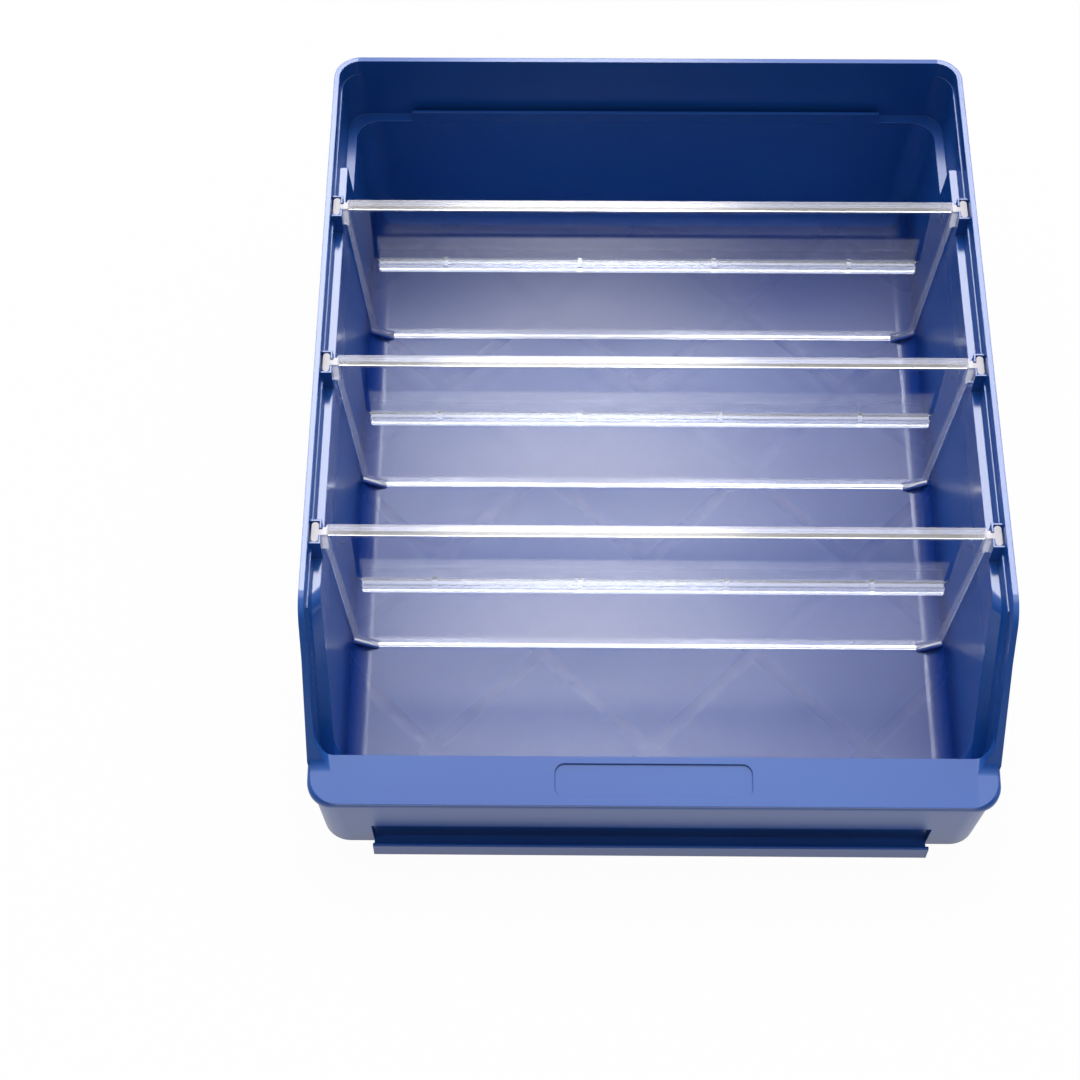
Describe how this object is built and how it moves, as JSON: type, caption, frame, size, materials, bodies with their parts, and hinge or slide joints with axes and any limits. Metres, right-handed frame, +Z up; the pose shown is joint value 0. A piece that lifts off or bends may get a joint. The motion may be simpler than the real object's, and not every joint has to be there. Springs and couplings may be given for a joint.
{
  "type": "parts sorting tray",
  "caption": "Open-fronted moulded storage tray with a sloping rim and low front lip, split into compartments by clear cross dividers that lift out of slots in the side walls.",
  "frame": {"origin": "centre of the base, on the surface that the tray stands on", "axes": "+Z up, +Y towards the rear wall (the low lip is at -Y), +X to the right when seen from the lip"},
  "size_m": [0.24, 0.289, 0.095],
  "materials": {
    "blue_polypropylene": "satin to glossy injection-moulded polypropylene",
    "clear_polystyrene": "clear glossy injection-moulded polystyrene"
  },
  "bodies": {
    "tray": {"tray_body": "blue_polypropylene"},
    "rear_divider": {"rear_divider": "clear_polystyrene"},
    "middle_divider": {"middle_divider": "clear_polystyrene"},
    "front_divider": {"front_divider": "clear_polystyrene"}
  },
  "joints": [
    {"name": "rear_divider_lift", "type": "slide", "parent": "tray", "child": "rear_divider", "axis": [0, 0, 1], "range_m": [0, 0.1]},
    {"name": "middle_divider_lift", "type": "slide", "parent": "tray", "child": "middle_divider", "axis": [0, 0, 1], "range_m": [0, 0.1]},
    {"name": "front_divider_lift", "type": "slide", "parent": "tray", "child": "front_divider", "axis": [0, 0, 1], "range_m": [0, 0.1]}
  ]
}
